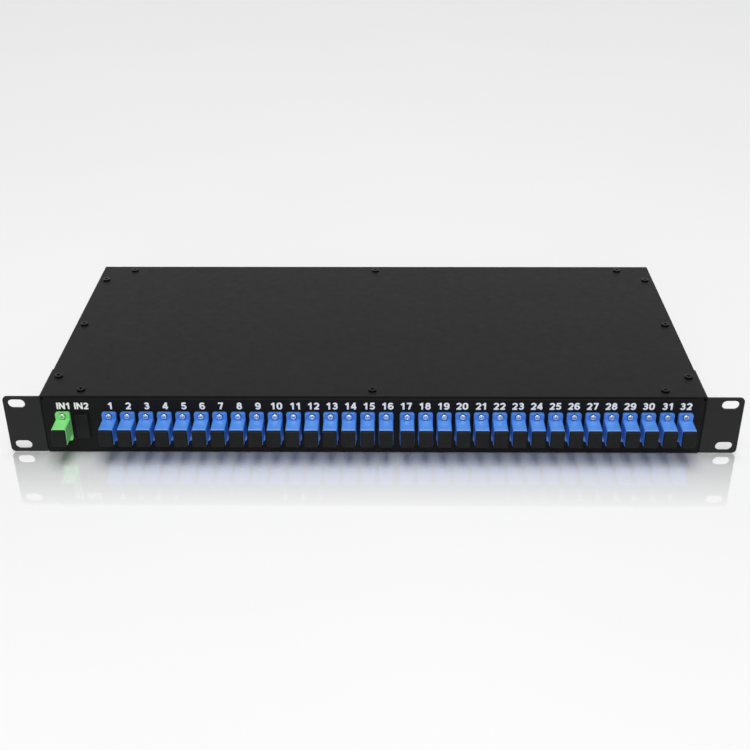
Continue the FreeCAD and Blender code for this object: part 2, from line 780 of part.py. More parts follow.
def nodes():
    named = {
        "chassis_tray": chassis_tray(),
        "front_panel": front_panel(),
        "top_cover": top_cover(),
        "left_ear_bracket": ear_bracket(-1),
        "right_ear_bracket": ear_bracket(1),
        "cover_screws": cover_screws(),
        "cover_nuts": cover_nuts(),
        "ear_screws": ear_screws(),
        "ear_nuts": ear_nuts(),
        "input_adapter_front": at_port(adapter_front(), input_x[0]),
        "input_adapter_rear": at_port(adapter_rear(), input_x[0]),
        "output_adapter_fronts": at_ports(adapter_front(), output_x),
        "output_adapter_rears": at_ports(adapter_rear(), output_x),
        "latch_holders": at_ports(latch_holder(), adapter_x),
        "alignment_sleeves": at_ports(alignment_sleeve(), adapter_x),
        "adapter_screws": adapter_screws(),
        "adapter_nuts": adapter_nuts(),
        "blank_plug": at_port(blank_plug(), blank_x),
        "input_plug": at_port(pigtail_plug(), input_x[0]),
        "output_plugs": at_ports(pigtail_plug(), output_x),
        "ferrules": at_ports(ferrule(), adapter_x),
        "plug_boots": at_ports(plug_boot(), adapter_x),
        "splitter_module": splitter_module(),
        "module_spacers": module_spacers(),
        "module_screws": module_screws(),
        "fibre_pigtails": fibre_pigtails(),
        "fibre_guides": fibre_guides(),
        "dust_cap_in1": at_port(dust_cap(), input_x[0]),
    }
    for index, x in enumerate(output_x):
        named["dust_cap_%02d" % (index + 1)] = at_port(dust_cap(), x)
    return named


os.makedirs("parts", exist_ok=True)
for name, shape in nodes().items():
    shape.exportStep("parts/" + name + ".step")
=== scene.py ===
import bmesh
import bpy
import math
from mathutils import Matrix, Vector


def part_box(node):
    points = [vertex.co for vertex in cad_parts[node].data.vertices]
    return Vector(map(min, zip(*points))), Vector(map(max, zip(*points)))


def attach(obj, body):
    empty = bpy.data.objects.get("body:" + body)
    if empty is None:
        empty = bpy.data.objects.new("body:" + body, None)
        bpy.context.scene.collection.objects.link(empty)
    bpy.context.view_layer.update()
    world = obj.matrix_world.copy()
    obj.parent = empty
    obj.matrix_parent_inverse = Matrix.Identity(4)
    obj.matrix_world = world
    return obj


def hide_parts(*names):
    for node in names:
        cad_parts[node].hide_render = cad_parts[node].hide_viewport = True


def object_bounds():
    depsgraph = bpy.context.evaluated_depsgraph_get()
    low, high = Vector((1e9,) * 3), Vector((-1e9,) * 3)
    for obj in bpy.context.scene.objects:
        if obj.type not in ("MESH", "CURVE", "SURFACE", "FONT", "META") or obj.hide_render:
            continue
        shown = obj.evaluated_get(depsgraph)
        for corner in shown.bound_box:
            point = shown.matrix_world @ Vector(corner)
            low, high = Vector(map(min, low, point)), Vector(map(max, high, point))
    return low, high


# Looks of a rack-mounted optical distribution frame. All sizes are metres.
# X runs to the right as seen from the front, Y from the front to the back, Z up.

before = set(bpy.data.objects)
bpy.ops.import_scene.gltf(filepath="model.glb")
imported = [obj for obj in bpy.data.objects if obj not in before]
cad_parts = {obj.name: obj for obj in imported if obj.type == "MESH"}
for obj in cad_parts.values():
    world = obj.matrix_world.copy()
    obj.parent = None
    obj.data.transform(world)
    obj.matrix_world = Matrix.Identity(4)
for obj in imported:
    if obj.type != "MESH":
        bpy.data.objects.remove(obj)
cad_low, cad_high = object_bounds()
mm = 0.001
x_axis, y_axis, z_axis = 0, 1, 2

# Sizes of the moulded adapters
body_width = 9.3 * mm
body_height = 12.6 * mm
body_corner = 1.0 * mm
flange_thick = 2.1 * mm
flange_corner = 1.5 * mm
flange_round = 0.3 * mm
rim_round = 0.8 * mm
seam_width = 0.16 * mm
seam_depth = 0.1 * mm
socket_width = 7.5 * mm
socket_height = 9.1 * mm
keyway_width = 2.4 * mm
keyway_depth = 0.5 * mm
holder_margin = 0.3 * mm
holder_plate = 1.8 * mm

# Sizes of the dust caps
cap_thick = 2.3 * mm
cap_corner = 0.9 * mm
cap_round = 0.5 * mm
skirt_clearance = 0.15 * mm
skirt_wall = 0.8 * mm

# Sizes of the fasteners
adapter_screw_spacing = 17.1 * mm
adapter_screw_radius = 1.0 * mm
adapter_screw_head = 1.9 * mm
adapter_screw_rise = 1.3 * mm
adapter_screw_length = 6.5 * mm
screw_hole_gap = 0.2 * mm
screw_seat_gap = 0.5 * mm
screw_seat_depth = 0.7 * mm
cover_screw_radius = 1.5 * mm
cover_screw_head = 2.8 * mm
cover_screw_rise = 1.2 * mm
cover_screw_length = 6.5 * mm
cover_screw_inset_end = 7.5 * mm
cover_screw_inset_side = 6.0 * mm
cover_screw_corner = 25.0 * mm
ear_screw_radius = 2.0 * mm
ear_screw_head = 3.7 * mm
ear_screw_length = 8.0 * mm
ear_screw_from_front = 20.0 * mm
ear_screw_from_edge = 11.0 * mm
sink_gap = 0.05 * mm

# Degrees by which each cover screw is turned further than the one before it
cover_screw_turn = 37

# Shares of a screw head's radius, or of a pan head's rise for its rounding and its recess's depth
pan_head_round = 0.25
pan_recess_reach = 0.66
pan_recess_depth = 0.8
flat_recess_reach = 0.6
flat_recess_depth = 0.35

# Shares of a recess's reach: the pit's radii and half a wedge's width
pit_bottom = 0.4
pit_top = 0.5
wedge_half_width = 0.25

# What is left of a wedge's length and width at its foot
wedge_foot_length = 0.5
wedge_foot_width = 0.7

# Sizes of the sheet metal
sheet = 1.2 * mm
bend_inner = 0.8 * mm
broken_edge = 0.25 * mm
cover_corner = 1.0 * mm
ear_corner = 3.0 * mm
slot_length = 11.2 * mm
slot_width = 6.4 * mm
slot_from_tip = 8.75 * mm
slot_spacing = 31.75 * mm

# Rounding of a slot's ends, as a share of half its width: just short of meeting
slot_end_round = 0.999

# Sizes of the printed labels
number_height = 5.2 * mm
name_height = 5.0 * mm
label_base = 12.5 * mm
label_inset_left = 1.0 * mm
label_inset_right = 0.4 * mm
label_row_rise = 0.4 * mm
name_shift = 0.75 * mm

# Shares of a letter's height
stroke = 0.22
film = 0.008
letter_gap = 0.1
gap_after_one = 0.26
digit_width = 0.66
letter_width = {"1": 0.46, "I": 0.2, "N": 0.8}

# Width of the numbers against their drawing, and a stroke's film against the one under it
number_stretch = 1.05
name_stretch = 1.0
stroke_lift = 0.05

# Degrees of an arc between two of its corners
arc_step = 15

# How far a cutting shape runs past the face it cuts
past = 1.0 * mm

# Limits for picking faces and edges, and the angles that count as sharp
facing_least = 0.9
parallel_least = 0.999
same_place = mm / 1000
broken_angle = math.radians(40)
smooth_angle = math.radians(50)

# Places taken from the frame
panel_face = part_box("front_panel")[0].y
cover_low, cover_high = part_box("top_cover")
ear_low, ear_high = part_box("right_ear_bracket")
adapter_low, adapter_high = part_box("input_adapter_front")
cap_low, cap_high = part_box("dust_cap_in1")
flange_width = adapter_high.x - adapter_low.x
flange_height = adapter_high.z - adapter_low.z
front_depth = panel_face - adapter_low.y
cap_width = cap_high.x - cap_low.x
cap_height = cap_high.z - cap_low.z
cap_front = cap_low.y - panel_face
cap_end = cap_high.y - panel_face
cap_tags = [name[len("dust_cap_"):] for name in sorted(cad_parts) if name.startswith("dust_cap_")]


def port_place(node):
    """Point where the axis of a port meets the panel's face."""
    low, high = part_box(node)
    return Vector(((low.x + high.x) / 2, panel_face, (low.z + high.z) / 2))


ports = {tag: port_place("dust_cap_" + tag) for tag in cap_tags}


# Shaping helpers: everything is deselected first, then faces or edges are picked by place

def begin(name):
    """Names the new primitive, puts its place in its mesh and opens it for shaping."""
    piece = bpy.context.object
    piece.name = name
    bpy.ops.object.transform_apply(location=True, rotation=True, scale=True)
    bpy.ops.object.mode_set(mode="EDIT")
    return piece


def begin_box(name, low, high):
    """Box between two corners."""
    low = Vector(low)
    high = Vector(high)
    bpy.ops.object.select_all(action="DESELECT")
    bpy.ops.mesh.primitive_cube_add(size=1, location=(low + high) / 2, scale=high - low)
    return begin(name)


def begin_bar(name, width, height, y0, y1):
    """Box centred on a port's axis, with Y measured from the panel's face."""
    return begin_box(name, (-width / 2, y0, -height / 2), (width / 2, y1, height / 2))


def begin_turned(name, radius_low, radius_high, low, high, sides):
    """Upright cylinder or cone between two heights."""
    bpy.ops.object.select_all(action="DESELECT")
    bpy.ops.mesh.primitive_cone_add(
        vertices=sides, radius1=radius_low, radius2=radius_high,
        depth=high - low, location=(0, 0, (low + high) / 2))
    return begin(name)


def pick_faces(piece, axis, sign):
    """Picks the faces that look up an axis, or down it where the sign is -1."""
    bpy.ops.mesh.select_mode(type="FACE")
    bpy.ops.mesh.select_all(action="DESELECT")
    for face in bmesh.from_edit_mesh(piece.data).faces:
        face.select_set(sign * face.normal[axis] > facing_least)
    bmesh.update_edit_mesh(piece.data)


def pick_edges(piece, wanted):
    """Picks the edges whose two ends pass a test."""
    bpy.ops.mesh.select_mode(type="EDGE")
    bpy.ops.mesh.select_all(action="DESELECT")
    for edge in bmesh.from_edit_mesh(piece.data).edges:
        edge.select_set(wanted(edge.verts[0].co, edge.verts[1].co))
    bmesh.update_edit_mesh(piece.data)


def along(axis, a, b):
    """True for an edge parallel to an axis."""
    reach = b - a
    return abs(reach[axis]) > parallel_least * reach.length


def both_at(axis, value, a, b):
    """True for an edge that lies in one plane across an axis."""
    return abs(a[axis] - value) < same_place and abs(b[axis] - value) < same_place


def pick_edges_along(piece, axis):
    pick_edges(piece, lambda a, b: along(axis, a, b))


def pick_edges_at(piece, axis, value):
    pick_edges(piece, lambda a, b: both_at(axis, value, a, b))


def draw_out(x=0.0, y=0.0, z=0.0):
    """Extrudes what is picked."""
    bpy.ops.mesh.extrude_region_move(TRANSFORM_OT_translate={"value": (x, y, z)})


def resize(x=1.0, y=1.0, z=1.0):
    """Resizes what is picked about the origin."""
    bpy.ops.transform.resize(value=(x, y, z), center_override=(0, 0, 0))


def step_to(x=1.0, y=1.0, z=1.0):
    """Extrudes what is picked in place and resizes the new outline."""
    draw_out()
    resize(x, y, z)


def round_off(width, segments):
    """Rounds the picked edges."""
    bpy.ops.mesh.bevel(offset=width, segments=segments, affect="EDGES")


def close(piece):
    """Turns the faces outwards and leaves edit mode."""
    bpy.ops.mesh.select_all(action="SELECT")
    bpy.ops.mesh.normals_make_consistent(inside=False)
    bpy.ops.object.mode_set(mode="OBJECT")
    return piece


def apply_modifier(piece, modifier):
    bpy.ops.object.select_all(action="DESELECT")
    bpy.context.view_layer.objects.active = piece
    bpy.ops.object.modifier_apply(modifier=modifier.name)


def combine(piece, others, operation):
    """Cuts other pieces out of a piece, or joins them to it as one solid."""
    for other in others:
        modifier = piece.modifiers.new("combine", "BOOLEAN")
        modifier.operation = operation
        modifier.object = other
        apply_modifier(piece, modifier)
        bpy.data.objects.remove(other)
    return piece


def break_edges(piece, width, segments):
    """Rounds every sharp edge of a finished form."""
    modifier = piece.modifiers.new("edges", "BEVEL")
    modifier.width = width
    modifier.segments = segments
    modifier.limit_method = "ANGLE"
    modifier.angle_limit = broken_angle
    apply_modifier(piece, modifier)


def finish_surface(piece, material):
    """Smooth shading over the roundings, with flat faces kept flat."""
    bpy.ops.object.select_all(action="DESELECT")
    piece.select_set(True)
    bpy.context.view_layer.objects.active = piece
    bpy.ops.object.shade_smooth_by_angle(angle=smooth_angle)
    modifier = piece.modifiers.new("normals", "WEIGHTED_NORMAL")
    modifier.keep_sharp = True
    apply_modifier(piece, modifier)
    piece.data.materials.clear()
    piece.data.materials.append(material)
    return piece


def copy_of(piece, name, place):
    """Copy with a mesh of its own, moved or turned by a matrix."""
    copy = bpy.data.objects.new(name, piece.data.copy())
    copy.data.transform(place)
    bpy.context.scene.collection.objects.link(copy)
    return copy


def joined(pieces, name):
    """Makes one piece of several."""
    bpy.ops.object.select_all(action="DESELECT")
    for piece in pieces:
        piece.select_set(True)
    bpy.context.view_layer.objects.active = pieces[0]
    bpy.ops.object.join()
    pieces[0].name = name
    return pieces[0]


def facing(axis, degrees):
    """Turn about an axis."""
    return Matrix.Rotation(math.radians(degrees), 4, axis)


def belongs(piece, body, node=None):
    """Rides on a body and hides the node of the frame that it stands for."""
    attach(piece, body)
    if node:
        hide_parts(node)


# Finishes

# Part of a noise pattern's range over which a colour or a gloss drifts
pattern_low = 0.3
pattern_high = 0.7


def colour(red, green, blue):
    """Colour as it looks on a screen, 0 to 255, turned into a shader's linear values."""
    def linear(value):
        share = value / 255
        return share / 12.92 if share <= 0.04045 else ((share + 0.055) / 1.055) ** 2.4
    return (linear(red), linear(green), linear(blue), 1.0)


def new_finish(name, metallic=0.0, specular=0.5):
    material = bpy.data.materials.new(name)
    material.use_nodes = True
    shader = material.node_tree.nodes["Principled BSDF"]
    shader.inputs["Metallic"].default_value = metallic
    shader.inputs["Specular IOR Level"].default_value = specular
    return material


def grain(material, scale, detail, stretch=(1.0, 1.0, 1.0)):
    """Noise over the object's own coordinates; the scale is in spots to the metre."""
    nodes = material.node_tree.nodes
    links = material.node_tree.links
    place = nodes.new("ShaderNodeTexCoord")
    mapping = nodes.new("ShaderNodeMapping")
    mapping.inputs["Scale"].default_value = stretch
    texture = nodes.new("ShaderNodeTexNoise")
    texture.inputs["Scale"].default_value = scale
    texture.inputs["Detail"].default_value = detail
    links.new(place.outputs["Object"], mapping.inputs["Vector"])
    links.new(mapping.outputs["Vector"], texture.inputs["Vector"])
    return texture.outputs["Fac"]


def tint(material, pattern, dark, light):
    """Colour that drifts between two close shades."""
    nodes = material.node_tree.nodes
    links = material.node_tree.links
    ramp = nodes.new("ShaderNodeValToRGB")
    ramp.color_ramp.elements[0].position = pattern_low
    ramp.color_ramp.elements[0].color = dark
    ramp.color_ramp.elements[1].position = pattern_high
    ramp.color_ramp.elements[1].color = light
    links.new(pattern, ramp.inputs["Fac"])
    links.new(ramp.outputs["Color"], nodes["Principled BSDF"].inputs["Base Color"])


def gloss(material, pattern, smooth, rough):
    """Roughness that drifts between two values."""
    nodes = material.node_tree.nodes
    links = material.node_tree.links
    span = nodes.new("ShaderNodeMapRange")
    span.inputs["From Min"].default_value = pattern_low
    span.inputs["From Max"].default_value = pattern_high
    span.inputs["To Min"].default_value = smooth
    span.inputs["To Max"].default_value = rough
    links.new(pattern, span.inputs["Value"])
    links.new(span.outputs["Result"], nodes["Principled BSDF"].inputs["Roughness"])


def relief(material, pattern, height, strength):
    """Fine bumps of a given height."""
    nodes = material.node_tree.nodes
    links = material.node_tree.links
    bump = nodes.new("ShaderNodeBump")
    bump.inputs["Strength"].default_value = strength
    bump.inputs["Distance"].default_value = height
    links.new(pattern, bump.inputs["Height"])
    links.new(bump.outputs["Normal"], nodes["Principled BSDF"].inputs["Normal"])


def baked_paint(name, specular):
    """Black powder coat with a fine orange-peel surface."""
    material = new_finish(name, specular=specular)
    tint(material, grain(material, scale=30, detail=4), colour(17, 17, 18), colour(20, 20, 21))
    gloss(material, grain(material, scale=160, detail=3), smooth=0.48, rough=0.54)
    relief(material, grain(material, scale=1500, detail=3), height=0.05 * mm, strength=0.25)
    return material


def moulded(name, dark, light, smooth, rough, specular=0.5):
    """Injection-moulded plastic: faint flow shading, satin gloss and a spark-eroded skin."""
    material = new_finish(name, specular=specular)
    tint(material, grain(material, scale=90, detail=3, stretch=(1, 0.4, 1)), dark, light)
    gloss(material, grain(material, scale=400, detail=2), smooth, rough)
    relief(material, grain(material, scale=3500, detail=2), height=0.02 * mm, strength=0.15)
    return material


def plated(name, dark, light, smooth, rough):
    """Plated or blackened steel, a little uneven in gloss."""
    material = new_finish(name, metallic=1.0)
    tint(material, grain(material, scale=700, detail=3), dark, light)
    gloss(material, grain(material, scale=1800, detail=2), smooth, rough)
    relief(material, grain(material, scale=5000, detail=2), height=0.01 * mm, strength=0.15)
    return material


def label_ink():
    """White screen print, a little uneven in cover."""
    material = new_finish("label_ink", specular=0.3)
    tint(material, grain(material, scale=1200, detail=4), colour(246, 246, 246), colour(254, 254, 254))
    gloss(material, grain(material, scale=900, detail=2), smooth=0.5, rough=0.65)
    relief(material, grain(material, scale=3000, detail=2), height=0.01 * mm, strength=0.2)
    return material


finishes = {
    "powder_coat": baked_paint("powder_coat", 0.1),
    "ear_coat": baked_paint("ear_coat", 0.27),
    "black_screw": plated("black_screw", colour(16, 16, 17), colour(24, 24, 25), 0.25, 0.36),
    "nickel_screw": plated("nickel_screw", colour(222, 221, 218), colour(244, 243, 240), 0.16, 0.28),
    "zinc_steel": plated("zinc_steel", colour(150, 152, 155), colour(185, 187, 190), 0.3, 0.45),
    "blue_plastic": moulded("blue_plastic", colour(72, 136, 224), colour(80, 144, 232), 0.36, 0.46, 0.65),
    "green_plastic": moulded("green_plastic", colour(126, 222, 124), colour(134, 229, 132), 0.36, 0.46, 0.65),
    "cap_plastic": moulded("cap_plastic", colour(19, 20, 21), colour(25, 26, 27), 0.48, 0.6, 0.12),
    "black_plastic": moulded("black_plastic", colour(15, 15, 16), colour(20, 20, 21), 0.46, 0.58, 0.15),
    "natural_plastic": moulded("natural_plastic", colour(214, 210, 198), colour(226, 222, 210), 0.35, 0.45),
    "sleeve_ceramic": moulded("sleeve_ceramic", colour(226, 226, 222), colour(238, 238, 234), 0.12, 0.2),
    "boot_rubber": moulded("boot_rubber", colour(218, 218, 215), colour(228, 228, 225), 0.55, 0.7, 0.3),
    "module_plastic": moulded("module_plastic", colour(190, 191, 192), colour(200, 201, 202), 0.4, 0.55, 0.4),
    "fibre_jacket": moulded("fibre_jacket", colour(230, 206, 72), colour(240, 218, 86), 0.35, 0.5),
}
ink = label_ink()

# Finish of each node of the frame; the dust caps are the rest
node_finish = {
    "chassis_tray": "powder_coat", "front_panel": "powder_coat", "top_cover": "powder_coat",
    "left_ear_bracket": "ear_coat", "right_ear_bracket": "ear_coat",
    "cover_screws": "black_screw", "ear_screws": "black_screw",
    "cover_nuts": "zinc_steel", "ear_nuts": "zinc_steel",
    "input_adapter_front": "green_plastic", "input_adapter_rear": "green_plastic",
    "output_adapter_fronts": "blue_plastic", "output_adapter_rears": "blue_plastic",
    "latch_holders": "natural_plastic", "alignment_sleeves": "sleeve_ceramic",
    "adapter_screws": "nickel_screw", "adapter_nuts": "zinc_steel",
    "blank_plug": "black_plastic", "input_plug": "green_plastic", "output_plugs": "blue_plastic",
    "ferrules": "sleeve_ceramic", "plug_boots": "boot_rubber",
    "splitter_module": "module_plastic", "module_spacers": "zinc_steel",
    "module_screws": "zinc_steel", "fibre_pigtails": "fibre_jacket", "fibre_guides": "natural_plastic",
}
for node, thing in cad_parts.items():
    thing.data.materials.clear()
    thing.data.materials.append(finishes[node_finish.get(node, "cap_plastic")])


# Adapters

def screw_cutters(z):
    """Hole through the flange and a shallow round seat, above or below the port's axis."""
    hole = adapter_screw_radius + screw_hole_gap
    seat = adapter_screw_head + screw_seat_gap
    seat_floor = flange_thick - screw_seat_depth
    cutters = [
        close(begin_turned("hole", hole, hole, -past, flange_thick + past, sides=20)),
        close(begin_turned("seat", seat, seat, seat_floor, flange_thick + past, sides=28)),
    ]
    for cutter in cutters:
        cutter.data.transform(Matrix.Translation((0, 0, z)) @ facing("X", 90))
    return cutters


def adapter_cutters():
    """Socket, keyway, seat of the latch holder and the places of the two screws."""
    mouth = -front_depth - past
    key_end = socket_width / 2 + keyway_depth
    key_half = keyway_width / 2
    seat_width = socket_width + 2 * holder_margin
    seat_height = socket_height + 2 * holder_margin
    cutters = [
        close(begin_bar("socket", socket_width, socket_height, mouth, past)),
        close(begin_box("keyway", (0, mouth, -key_half), (key_end, -flange_thick, key_half))),
        close(begin_bar("seat", seat_width, seat_height, -holder_plate, past)),
    ]
    for side in (-1, 1):
        cutters += screw_cutters(side * adapter_screw_spacing / 2)
    return cutters


def flange_form():
    """Two leaves of the flange with a weld seam between them, about the port's axis."""
    leaf = (flange_thick - seam_width) / 2
    seam_x = 1 - 2 * seam_depth / flange_width
    seam_z = 1 - 2 * seam_depth / flange_height
    piece = begin_bar("adapter_form", flange_width, flange_height, -flange_thick, leaf - flange_thick)
    pick_edges_along(piece, y_axis)
    round_off(flange_corner, segments=6)
    pick_edges_at(piece, y_axis, -flange_thick)
    round_off(flange_round, segments=3)
    pick_faces(piece, y_axis, 1)
    step_to(x=seam_x, z=seam_z)
    draw_out(y=seam_width)
    step_to(x=1 / seam_x, z=1 / seam_z)
    draw_out(y=leaf)
    return close(piece)


def body_form():
    """Square tube before the flange, still solid."""
    piece = begin_bar("body", body_width, body_height, -front_depth, -flange_thick / 2)
    pick_edges_along(piece, y_axis)
    round_off(body_corner, segments=4)
    pick_edges_at(piece, y_axis, -front_depth)
    round_off(rim_round, segments=4)
    return close(piece)


def adapter_form(material):
    """Front half of an adapter about its port's axis, with Y measured from the panel's face."""
    piece = combine(flange_form(), [body_form()], "UNION")
    combine(piece, adapter_cutters(), "DIFFERENCE")
    return finish_surface(piece, material)


def place_adapters():
    """One green input adapter and the row of blue output adapters."""
    pattern = adapter_form(finishes["blue_plastic"])
    for tag, place in ports.items():
        is_input = tag == "in1"
        slot = "green_plastic" if is_input else "blue_plastic"
        node = "input_adapter_front" if is_input else "output_adapter_fronts"
        adapter = copy_of(pattern, "adapter_" + tag, Matrix.Translation(place))
        adapter.data.materials[0] = finishes[slot]
        belongs(adapter, "chassis", node)
    bpy.data.objects.remove(pattern)


# Dust caps

def cap_form(material):
    """Flat head with softened corners and a hollow skirt, about its port's axis."""
    back = cap_front + cap_thick
    skirt_width = socket_width - 2 * skirt_clearance
    skirt_height = socket_height - 2 * skirt_clearance
    skirt_length = cap_end - back
    piece = begin_bar("cap_form", cap_width, cap_height, cap_front, back)
    pick_edges_along(piece, y_axis)
    round_off(cap_corner, segments=4)
    pick_edges_at(piece, y_axis, cap_front)
    round_off(cap_round, segments=3)
    pick_faces(piece, y_axis, 1)
    step_to(x=skirt_width / cap_width, z=skirt_height / cap_height)
    draw_out(y=skirt_length)
    bpy.ops.mesh.inset(thickness=skirt_wall, depth=0)
    draw_out(y=-skirt_length)
    close(piece)
    return finish_surface(piece, material)


def place_caps():
    """One cap in each adapter, on a body of its own."""
    pattern = cap_form(finishes["cap_plastic"])
    for tag, place in ports.items():
        cap = copy_of(pattern, "cap_" + tag, Matrix.Translation(place))
        belongs(cap, "dust_cap_" + tag, "dust_cap_" + tag)
    bpy.data.objects.remove(pattern)


# Screws, upright about the origin with the head on top

def recess_cutters(top, reach, depth):
    """Two crossed wedges and a deeper round pit for the recess in a head's top face."""
    half = wedge_half_width * reach
    pit = begin_turned("pit", pit_bottom * reach, pit_top * reach, top - 2 * depth, top + depth, sides=16)
    cutters = [close(pit)]
    for turn in (0, 90):
        wedge = begin_box("wedge", (-reach, -half, top - depth), (reach, half, top + depth))
        pick_faces(wedge, z_axis, -1)
        resize(x=wedge_foot_length, y=wedge_foot_width)
        close(wedge)
        wedge.data.transform(facing("Z", turn))
        cutters.append(wedge)
    return cutters


def pan_screw_form(name, radius, head, rise, length, material):
    """Pan-head screw; the origin is the middle of the seat under its head."""
    piece = begin_turned(name, head, head, 0, rise, sides=24)
    pick_edges_at(piece, z_axis, rise)
    round_off(pan_head_round * rise, segments=4)
    pick_faces(piece, z_axis, -1)
    step_to(x=radius / head, y=radius / head)
    draw_out(z=-length)
    close(piece)
    combine(piece, recess_cutters(rise, pan_recess_reach * head, pan_recess_depth * rise), "DIFFERENCE")
    return finish_surface(piece, material)


def flat_screw_form(name, radius, head, length, material):
    """Countersunk screw; the origin is the middle of its top face."""
    cone = head - radius
    piece = begin_turned(name, radius, head - sink_gap, -cone, 0, sides=32)
    pick_faces(piece, z_axis, -1)
    draw_out(z=cone - length)
    close(piece)
    combine(piece, recess_cutters(0, flat_recess_reach * head, flat_recess_depth * head), "DIFFERENCE")
    return finish_surface(piece, material)


def cover_screw_places():
    """Front row, rear row, then both sides, on the cover's top face."""
    front_y = cover_low.y + cover_screw_inset_end
    rear_y = cover_high.y - cover_screw_inset_end
    end_x = cover_high.x - cover_screw_corner
    side_x = cover_high.x - cover_screw_inset_side
    side_y = cover_high.y - cover_screw_corner
    places = [(x, y) for y in (front_y, rear_y) for x in (-end_x, 0, end_x)]
    places += [(x, y) for x in (-side_x, side_x) for y in (-side_y, 0, side_y)]
    return places


def ear_screw_heights():
    return (cad_low.z + ear_screw_from_edge, cover_high.z - ear_screw_from_edge)


def ear_screw_place(side, z):
    """Place on the outer face of an ear's leg, turned outwards."""
    seat = Vector((side * (cover_high.x + sheet), panel_face + ear_screw_from_front, z))
    return Matrix.Translation(seat) @ facing("Y", 90 * side)


def place_adapter_screws():
    pattern = pan_screw_form(
        "adapter_screw_form", adapter_screw_radius, adapter_screw_head,
        adapter_screw_rise, adapter_screw_length, finishes["nickel_screw"])
    for tag, port in ports.items():
        for end, side in (("low", -1), ("high", 1)):
            seat = port + Vector((0, -flange_thick, side * adapter_screw_spacing / 2))
            place = Matrix.Translation(seat) @ facing("X", 90)
            screw = copy_of(pattern, "adapter_screw_%s_%s" % (tag, end), place)
            belongs(screw, "chassis", "adapter_screws")
    bpy.data.objects.remove(pattern)


def place_cover_screws():
    pattern = pan_screw_form(
        "cover_screw_form", cover_screw_radius, cover_screw_head,
        cover_screw_rise, cover_screw_length, finishes["black_screw"])
    for index, (x, y) in enumerate(cover_screw_places()):
        place = Matrix.Translation((x, y, cover_high.z)) @ facing("Z", cover_screw_turn * index)
        screw = copy_of(pattern, "cover_screw_%02d" % (index + 1), place)
        belongs(screw, "chassis", "cover_screws")
    bpy.data.objects.remove(pattern)


def place_ear_screws():
    pattern = flat_screw_form(
        "ear_screw_form", ear_screw_radius, ear_screw_head, ear_screw_length, finishes["black_screw"])
    for name, side in (("left", -1), ("right", 1)):
        for index, z in enumerate(ear_screw_heights()):
            screw = copy_of(pattern, "ear_screw_%s_%d" % (name, index + 1), ear_screw_place(side, z))
            belongs(screw, "chassis", "ear_screws")
    bpy.data.objects.remove(pattern)


# Sheet metal

def lid():
    """Cover plate with rounded corners and a hole for each screw."""
    piece = begin_box("lid", cover_low, cover_high)
    pick_edges_along(piece, z_axis)
    round_off(cover_corner, segments=5)
    close(piece)
    radius = cover_screw_radius + screw_hole_gap
    holes = []
    for x, y in cover_screw_places():
        hole = close(begin_turned("hole", radius, radius, cover_low.z - past, cover_high.z + past, sides=24))
        hole.data.transform(Matrix.Translation((x, y, 0)))
        holes.append(hole)
    combine(piece, holes, "DIFFERENCE")
    break_edges(piece, broken_edge, segments=3)
    finish_surface(piece, finishes["powder_coat"])
    belongs(piece, "chassis", "top_cover")


def slot_cutter(side, z):
    """Bar with round ends through an ear."""
    x = side * (ear_high.x - slot_from_tip)
    half_length = slot_length / 2
    half_width = slot_width / 2
    low = (x - half_length, panel_face - past, z - half_width)
    high = (x + half_length, panel_face + sheet + past, z + half_width)
    cutter = begin_box("slot", low, high)
    pick_edges_along(cutter, y_axis)
    round_off(slot_end_round * half_width, segments=10)
    return close(cutter)


def ear_sink_cutter(side, z):
    """Cone for a countersunk screw in the ear's leg."""
    mouth = ear_screw_head + sink_gap
    cutter = close(begin_turned("sink", mouth - sheet - past, mouth + past, -sheet - past, past, sides=40))
    cutter.data.transform(ear_screw_place(side, z))
    return cutter


def ear(name, side, node):
    """Flange in the panel's plane, bent back into a leg on the chassis side."""
    bend_outer = bend_inner + sheet
    root = side * (cover_high.x + bend_outer)
    tip = side * ear_high.x
    leg_end = ear_high.y
    low = (min(root, tip), panel_face, ear_low.z)
    high = (max(root, tip), panel_face + sheet, ear_high.z)
    piece = begin_box(name, low, high)
    pick_faces(piece, x_axis, -side)
    bpy.ops.mesh.spin(
        steps=6, angle=math.radians(90 * side), center=(root, panel_face + bend_outer, 0), axis=(0, 0, 1))
    draw_out(y=leg_end - panel_face - bend_outer)
    pick_edges(piece, lambda a, b: (
        along(y_axis, a, b) and both_at(x_axis, tip, a, b)
        or along(x_axis, a, b) and both_at(y_axis, leg_end, a, b)))
    round_off(ear_corner, segments=6)
    close(piece)
    middle = (ear_low.z + ear_high.z) / 2
    cutters = [slot_cutter(side, middle + shift) for shift in (-slot_spacing / 2, slot_spacing / 2)]
    cutters += [ear_sink_cutter(side, z) for z in ear_screw_heights()]
    combine(piece, cutters, "DIFFERENCE")
    break_edges(piece, broken_edge, segments=3)
    finish_surface(piece, finishes["ear_coat"])
    belongs(piece, "chassis", node)


# Printed labels: letters of straight and round strokes, drawn one unit high

def bar_stroke(x0, y0, x1, y1):
    """Straight stroke between two points."""
    length = math.hypot(x1 - x0, y1 - y0)
    turn = math.degrees(math.atan2(y1 - y0, x1 - x0))
    piece = close(begin_box("stroke", (0, -stroke / 2, 0), (length, stroke / 2, film)))
    piece.data.transform(Matrix.Translation((x0, y0, 0)) @ facing("Z", turn))
    return piece


